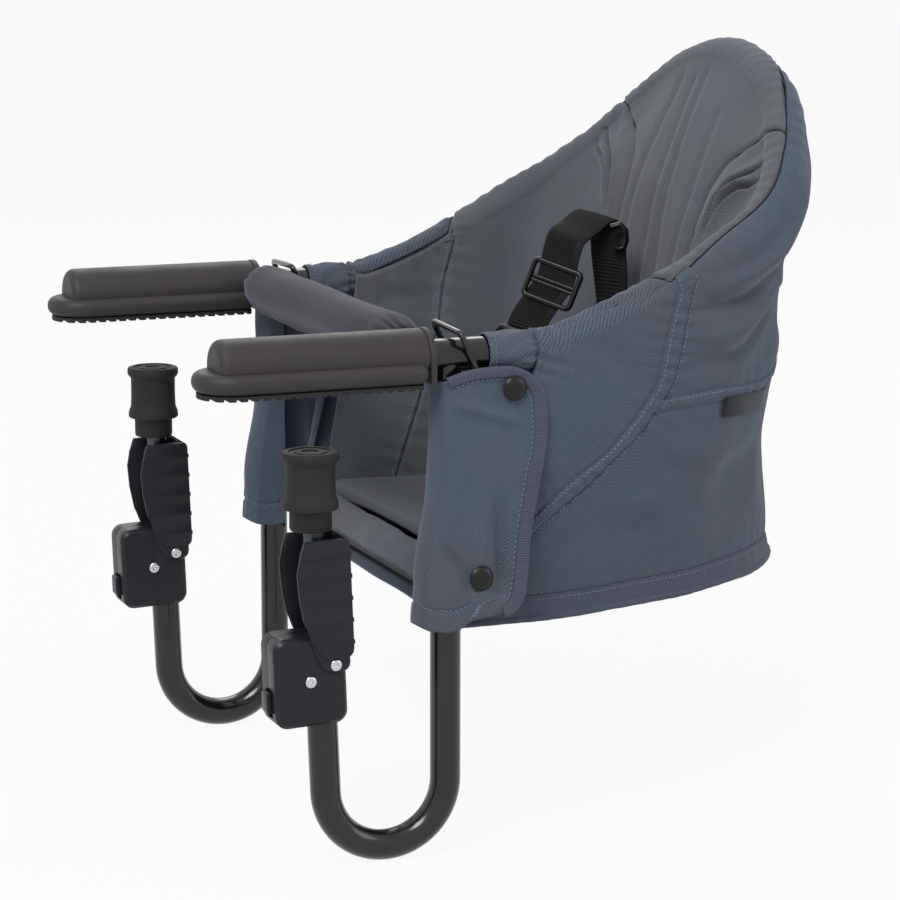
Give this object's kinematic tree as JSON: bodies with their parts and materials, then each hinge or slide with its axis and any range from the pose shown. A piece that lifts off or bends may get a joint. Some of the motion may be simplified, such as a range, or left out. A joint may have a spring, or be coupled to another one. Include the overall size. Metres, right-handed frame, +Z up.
{
  "type": "hook-on table chair",
  "caption": "Fabric child seat on a tube hoop that hooks onto a tabletop with padded arms above and clamped hooks below.",
  "frame": {"origin": "top edge of the tabletop that the chair hooks onto, midway between the two arms", "axes": "+X from the table edge to the seat back, +Y to the seated child's right, +Z up; the tabletop fills X below 0 and Z from -0.038 to 0"},
  "size_m": [0.474, 0.4, 0.5159],
  "materials": {
    "black_paint": "gloss black powder coat",
    "grip_rubber": "satin dark grey-brown moulding",
    "sole_rubber": "matt black moulding",
    "bumper_sleeve": "dark brown-grey sleeve over foam",
    "clamp_plastic": "satin charcoal",
    "board_plastic": "plain",
    "lever_rubber": "ribbed, satin",
    "rivet_steel": "bright",
    "dark_steel": "dark zinc",
    "seat_cloth": "slate-grey twill",
    "lining_cloth": "slate-grey lining",
    "base_binding": "bound cloth",
    "black_webbing": "ribbed webbing",
    "snap_plastic": "brown-black"
  },
  "bodies": {
    "arms": {"arm_tube_L": "black_paint", "arm_tube_R": "black_paint", "hook_tube_L": "black_paint", "hook_tube_R": "black_paint", "crossbar_tube": "black_paint", "table_grip_L": "grip_rubber", "table_grip_R": "grip_rubber", "grip_sole_L": "sole_rubber", "grip_sole_R": "sole_rubber", "crossbar_sleeve": "bumper_sleeve", "clamp_cover_outer_L": "clamp_plastic", "clamp_cover_outer_R": "clamp_plastic", "clamp_cover_inner_L": "clamp_plastic", "clamp_cover_inner_R": "clamp_plastic", "lever_rivet_L": "rivet_steel", "lever_rivet_R": "rivet_steel", "pawl_rivet_L": "rivet_steel", "pawl_rivet_R": "rivet_steel", "hinge_pin_L": "rivet_steel", "hinge_pin_R": "rivet_steel", "hinge_tongue_L": "dark_steel", "hinge_tongue_R": "dark_steel", "front_flap_L": "seat_cloth", "front_flap_R": "seat_cloth", "sleeve_cuff_L": "seat_cloth", "sleeve_cuff_R": "seat_cloth", "snap_upper_L": "snap_plastic", "snap_upper_R": "snap_plastic", "snap_lower_L": "snap_plastic", "snap_lower_R": "snap_plastic"},
    "seat": {"hoop_tube": "black_paint", "back_panel": "seat_cloth", "lower_panel": "seat_cloth", "back_pad": "lining_cloth", "seat_cushion": "lining_cloth", "base_cover": "base_binding", "base_board": "board_plastic", "harness_webbing": "black_webbing", "belt_slide_upper": "snap_plastic", "belt_slide_lower": "snap_plastic", "crotch_strap": "black_webbing", "blank_tag": "black_webbing", "hinge_fork_L": "dark_steel", "hinge_fork_R": "dark_steel", "side_panel_L": "seat_cloth", "side_panel_R": "seat_cloth", "wing_pad_L": "lining_cloth", "wing_pad_R": "lining_cloth"},
    "lever_L": {"lever_arm_L": "black_paint", "lever_grip_L": "lever_rubber"},
    "post_L": {"clamp_post_L": "dark_steel", "foot_pad_L": "sole_rubber"},
    "pawl_L": {"release_pawl_L": "clamp_plastic"},
    "bail_L": {"wire_bail_L": "black_paint"},
    "lever_R": {"lever_arm_R": "black_paint", "lever_grip_R": "lever_rubber"},
    "post_R": {"clamp_post_R": "dark_steel", "foot_pad_R": "sole_rubber"},
    "pawl_R": {"release_pawl_R": "clamp_plastic"},
    "bail_R": {"wire_bail_R": "black_paint"}
  },
  "joints": [
    {"name": "seat_fold", "type": "hinge", "parent": "arms", "child": "seat", "pos_m": [0.056, 0, 0.018], "axis": [0, -1, 0], "range_deg": [0, 100], "deforming": ["sleeve_cuff_L", "sleeve_cuff_R"]},
    {"name": "lever_L_swing", "type": "hinge", "parent": "arms", "child": "lever_L", "pos_m": [-0.0683, -0.175, -0.17452], "axis": [0, 1, 0], "range_deg": [0, 28]},
    {"name": "post_L_slide", "type": "slide", "parent": "arms", "child": "post_L", "axis": [-0.0401, 0, 0.9992], "range_m": [0, 0.02]},
    {"name": "pawl_L_press", "type": "hinge", "parent": "arms", "child": "pawl_L", "pos_m": [-0.0846, -0.175, -0.18478], "axis": [0, -1, 0], "range_deg": [0, 5], "stiffness_Nm_per_rad": 0.3, "springref_deg": -5.73},
    {"name": "bail_L_swing", "type": "hinge", "parent": "arms", "child": "bail_L", "pos_m": [0.025, -0.175, 0.018], "axis": [0, 1, 0], "range_deg": [-6, 6]},
    {"name": "lever_R_swing", "type": "hinge", "parent": "arms", "child": "lever_R", "pos_m": [-0.0683, 0.175, -0.17452], "axis": [0, 1, 0], "range_deg": [0, 28]},
    {"name": "post_R_slide", "type": "slide", "parent": "arms", "child": "post_R", "axis": [-0.0401, 0, 0.9992], "range_m": [0, 0.02]},
    {"name": "pawl_R_press", "type": "hinge", "parent": "arms", "child": "pawl_R", "pos_m": [-0.0846, 0.175, -0.18478], "axis": [0, -1, 0], "range_deg": [0, 5], "stiffness_Nm_per_rad": 0.3, "springref_deg": -5.73},
    {"name": "bail_R_swing", "type": "hinge", "parent": "arms", "child": "bail_R", "pos_m": [0.025, 0.175, 0.018], "axis": [0, 1, 0], "range_deg": [-6, 6]}
  ]
}
